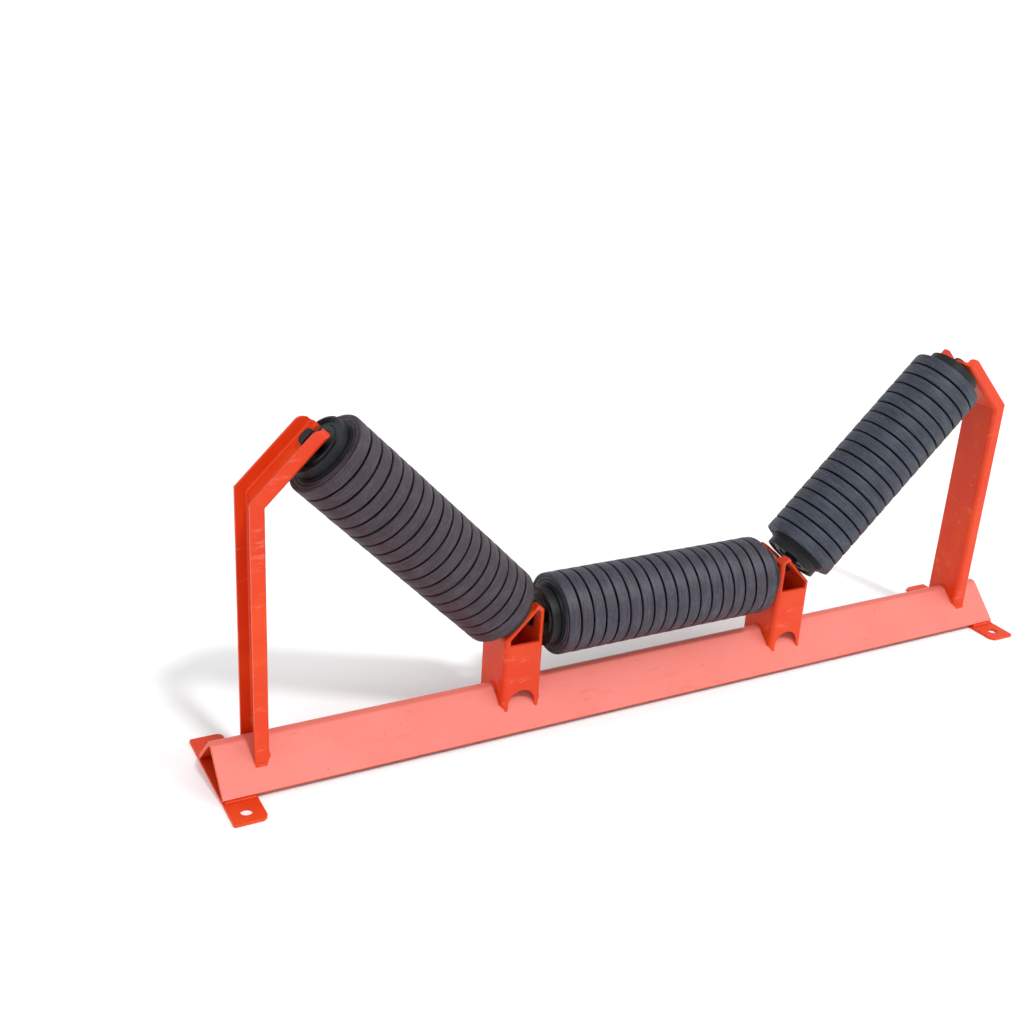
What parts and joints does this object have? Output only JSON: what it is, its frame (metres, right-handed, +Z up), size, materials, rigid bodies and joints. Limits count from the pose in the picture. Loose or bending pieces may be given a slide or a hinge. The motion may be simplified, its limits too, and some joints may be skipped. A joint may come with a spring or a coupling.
{
  "type": "troughing idler set",
  "caption": "Troughing conveyor idler set: ribbed rubber impact rollers turning on fixed shafts in slotted brackets and bent channel posts over a folded angle base.",
  "frame": {"origin": "centre of the base, at the underside of its feet", "axes": "+X across the belt along the base, +Y along the belt towards the back, +Z up"},
  "size_m": [1.8, 0.28, 0.6423],
  "materials": {
    "frame_paint": "orange-red enamel, sprayed, satin to gloss",
    "ring_rubber": "moulded and ground black rubber, matt",
    "tube_paint": "thin black primer on steel tube",
    "cover_paint": "black primer on pressed steel",
    "shaft_steel": "turned, with milled flats",
    "spring_steel": "phosphated",
    "bearing_steel": "ground and polished",
    "cage_brass": "machined",
    "seal_plastic": "moulded nylon",
    "pressed_steel": "pressed steel, black primer"
  },
  "bodies": {
    "frame": {"base_angle": "frame_paint", "foot_plate_left": "frame_paint", "foot_plate_right": "frame_paint", "post_left": "frame_paint", "post_right": "frame_paint", "bracket_left": "frame_paint", "bracket_right": "frame_paint", "bracket_cheek_left": "frame_paint", "bracket_cheek_right": "frame_paint", "shaft_left": "shaft_steel", "circlips_left": "spring_steel", "inner_races_left": "bearing_steel", "seal_cores_left": "seal_plastic", "shaft_centre": "shaft_steel", "circlips_centre": "spring_steel", "inner_races_centre": "bearing_steel", "seal_cores_centre": "seal_plastic", "shaft_right": "shaft_steel", "circlips_right": "spring_steel", "inner_races_right": "bearing_steel", "seal_cores_right": "seal_plastic"},
    "roller_left": {"core_tube_left": "tube_paint", "rubber_rings_left": "ring_rubber", "retaining_rings_left": "tube_paint", "bearing_housings_left": "pressed_steel", "outer_races_left": "bearing_steel", "seal_rings_left": "seal_plastic", "end_covers_left": "cover_paint"},
    "roller_centre": {"core_tube_centre": "tube_paint", "rubber_rings_centre": "ring_rubber", "retaining_rings_centre": "tube_paint", "bearing_housings_centre": "pressed_steel", "outer_races_centre": "bearing_steel", "seal_rings_centre": "seal_plastic", "end_covers_centre": "cover_paint"},
    "roller_right": {"core_tube_right": "tube_paint", "rubber_rings_right": "ring_rubber", "retaining_rings_right": "tube_paint", "bearing_housings_right": "pressed_steel", "outer_races_right": "bearing_steel", "seal_rings_right": "seal_plastic", "end_covers_right": "cover_paint"},
    "cages_left": {"ball_cages_left": "cage_brass", "bearing_balls_left": "bearing_steel"},
    "cages_centre": {"ball_cages_centre": "cage_brass", "bearing_balls_centre": "bearing_steel"},
    "cages_right": {"ball_cages_right": "cage_brass", "bearing_balls_right": "bearing_steel"}
  },
  "joints": [
    {"name": "roller_left_spin", "type": "hinge", "parent": "frame", "child": "roller_left", "pos_m": [-0.5216, 0, 0.4146], "axis": [-0.7071, 0, 0.7071], "continuous": true},
    {"name": "roller_centre_spin", "type": "hinge", "parent": "frame", "child": "roller_centre", "pos_m": [0, 0, 0.206], "axis": [1, 0, 0], "continuous": true},
    {"name": "roller_right_spin", "type": "hinge", "parent": "frame", "child": "roller_right", "pos_m": [0.5216, 0, 0.4146], "axis": [0.7071, 0, 0.7071], "continuous": true},
    {"name": "cages_left_spin", "type": "hinge", "parent": "frame", "child": "cages_left", "pos_m": [-0.5216, 0, 0.4146], "axis": [-0.7071, 0, 0.7071], "continuous": true},
    {"name": "cages_centre_spin", "type": "hinge", "parent": "frame", "child": "cages_centre", "pos_m": [0, 0, 0.206], "axis": [1, 0, 0], "continuous": true},
    {"name": "cages_right_spin", "type": "hinge", "parent": "frame", "child": "cages_right", "pos_m": [0.5216, 0, 0.4146], "axis": [0.7071, 0, 0.7071], "continuous": true}
  ],
  "couplings": [
    {"joint": "cages_left_spin", "follows": "roller_left_spin", "ratio": 0.6196},
    {"joint": "cages_centre_spin", "follows": "roller_centre_spin", "ratio": 0.6196},
    {"joint": "cages_right_spin", "follows": "roller_right_spin", "ratio": 0.6196}
  ]
}
